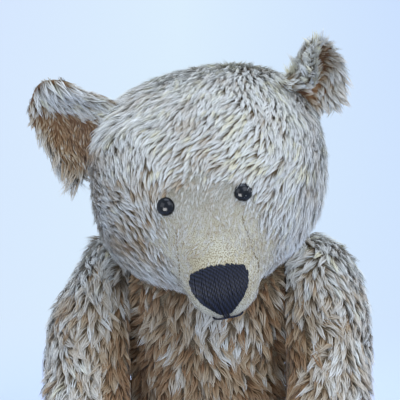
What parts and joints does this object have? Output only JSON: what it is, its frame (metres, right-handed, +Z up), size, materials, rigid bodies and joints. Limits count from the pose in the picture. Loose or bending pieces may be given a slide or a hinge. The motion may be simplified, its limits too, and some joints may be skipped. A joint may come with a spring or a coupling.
{
  "type": "teddy bear",
  "caption": "Jointed mohair teddy bear sitting with its legs forward: long worn muzzle, stitched nose, button eyes, cupped ears, felt paw pads, pinned disc joints.",
  "frame": {"origin": "on the surface it sits on, under the middle of its outline", "axes": "+Z up, -Y the way the bear faces, +X to its own left side"},
  "size_m": [0.2096, 0.2018, 0.3453],
  "materials": {
    "mohair": "worn mohair pile on a woven backing",
    "ear_cloth": "worn brown pile",
    "felt": "matted wool felt",
    "boot_button": "polished",
    "thread": "satin stitched silk thread",
    "wood_wool": "packed fine shavings",
    "card": "plain",
    "steel": "dull"
  },
  "bodies": {
    "body": {"body_panel_left": "mohair", "body_panel_right": "mohair", "body_stuffing": "wood_wool", "neck_disc_body": "card", "neck_washer_body": "steel", "shoulder_left_disc_body": "card", "shoulder_left_washer_body": "steel", "hip_left_disc_body": "card", "hip_left_washer_body": "steel", "shoulder_right_disc_body": "card", "shoulder_right_washer_body": "steel", "hip_right_disc_body": "card", "hip_right_washer_body": "steel"},
    "head": {"head_gusset": "mohair", "head_side_left": "mohair", "head_side_right": "mohair", "head_stuffing": "wood_wool", "ear_left_front": "ear_cloth", "ear_left_back": "mohair", "ear_right_front": "ear_cloth", "ear_right_back": "mohair", "eye_left": "boot_button", "eye_right": "boot_button", "nose_stitching": "thread", "mouth_stitching": "thread", "neck_disc_head": "card", "neck_washer_head": "steel", "neck_pin": "steel"},
    "arm_left": {"arm_left_outer": "mohair", "arm_left_inner": "mohair", "arm_left_paw_pad": "felt", "arm_left_stuffing": "wood_wool", "shoulder_left_disc_limb": "card", "shoulder_left_washer_limb": "steel", "shoulder_left_pin": "steel"},
    "leg_left": {"leg_left_cover": "mohair", "leg_left_foot_pad": "felt", "leg_left_foot_card": "card", "leg_left_stuffing": "wood_wool", "hip_left_disc_limb": "card", "hip_left_washer_limb": "steel", "hip_left_pin": "steel"},
    "arm_right": {"arm_right_outer": "mohair", "arm_right_inner": "mohair", "arm_right_paw_pad": "felt", "arm_right_stuffing": "wood_wool", "shoulder_right_disc_limb": "card", "shoulder_right_washer_limb": "steel", "shoulder_right_pin": "steel"},
    "leg_right": {"leg_right_cover": "mohair", "leg_right_foot_pad": "felt", "leg_right_foot_card": "card", "leg_right_stuffing": "wood_wool", "hip_right_disc_limb": "card", "hip_right_washer_limb": "steel", "hip_right_pin": "steel"}
  },
  "joints": [
    {"name": "neck_swivel", "type": "hinge", "parent": "body", "child": "head", "pos_m": [0, 0.0484, 0.205], "axis": [0, -0.309, 0.9511], "continuous": true},
    {"name": "shoulder_left", "type": "hinge", "parent": "body", "child": "arm_left", "pos_m": [0.0477, 0.0544, 0.18], "axis": [-1, 0, 0], "range_deg": [-5, 62]},
    {"name": "shoulder_right", "type": "hinge", "parent": "body", "child": "arm_right", "pos_m": [-0.0477, 0.0544, 0.18], "axis": [-1, 0, 0], "range_deg": [-5, 62]},
    {"name": "hip_left", "type": "hinge", "parent": "body", "child": "leg_left", "pos_m": [0.0477, 0.0484, 0.0333], "axis": [1, 0, 0], "range_deg": [0, 90]},
    {"name": "hip_right", "type": "hinge", "parent": "body", "child": "leg_right", "pos_m": [-0.0477, 0.0484, 0.0333], "axis": [1, 0, 0], "range_deg": [0, 90]}
  ]
}
